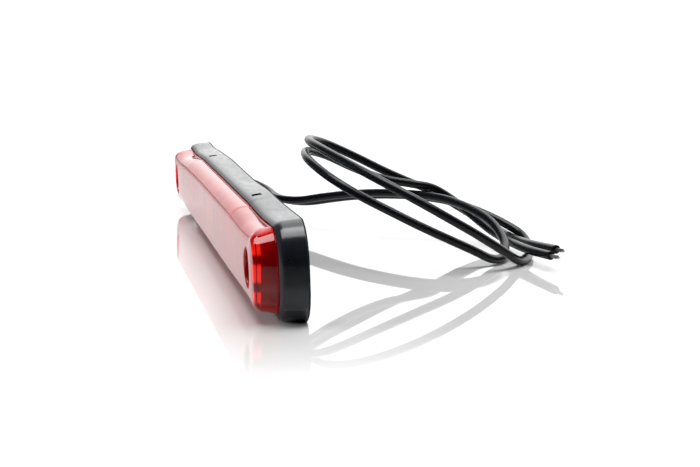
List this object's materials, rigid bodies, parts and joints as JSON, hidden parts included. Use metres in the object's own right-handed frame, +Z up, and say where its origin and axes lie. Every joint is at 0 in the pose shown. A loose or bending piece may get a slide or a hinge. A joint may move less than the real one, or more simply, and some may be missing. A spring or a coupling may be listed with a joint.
{
  "type": "trailer tail light",
  "caption": "Slim surface-mount LED tail light for a trailer, with a clear red lens, a sealed black housing, screw wells at both ends and loose supply wires.",
  "frame": {"origin": "centre of the lamp's footprint, on the surface its long bottom wall rests on", "axes": "+X along the lamp, -Y out of the lens, +Y out of the back where the wires leave, +Z up"},
  "size_m": [0.238, 0.0984, 0.035],
  "materials": {
    "housing_plastic": "semi-gloss moulded",
    "lens_plastic": "clear red, polished",
    "sealant": "matte",
    "board": "white solder mask",
    "led_body": "satin",
    "component_black": "moulded epoxy",
    "capacitor_ceramic": "fired ceramic",
    "solder": "bright",
    "resin": "cast, glossy",
    "bush_rubber": "matte",
    "wire_jacket": "smooth PVC",
    "tinned_copper": "twisted strands"
  },
  "bodies": {
    "root": {"housing": "housing_plastic", "lens": "lens_plastic", "lens_seal": "sealant", "circuit_board": "board", "potting_compound": "resin", "wire_grommet": "bush_rubber", "led_1": "led_body", "led_2": "led_body", "led_3": "led_body", "led_4": "led_body", "led_5": "led_body", "led_6": "led_body", "led_7": "led_body", "led_8": "led_body", "resistor_1": "component_black", "resistor_2": "component_black", "resistor_3": "component_black", "resistor_4": "component_black", "reverse_diode": "component_black", "current_regulator": "component_black", "filter_capacitor": "capacitor_ceramic", "solder_joint_1": "solder", "solder_joint_2": "solder", "lead_in_1": "wire_jacket", "lead_in_2": "wire_jacket", "wire_1": "wire_jacket", "wire_2": "wire_jacket", "conductor_1": "tinned_copper", "conductor_2": "tinned_copper"}
  },
  "joints": []
}
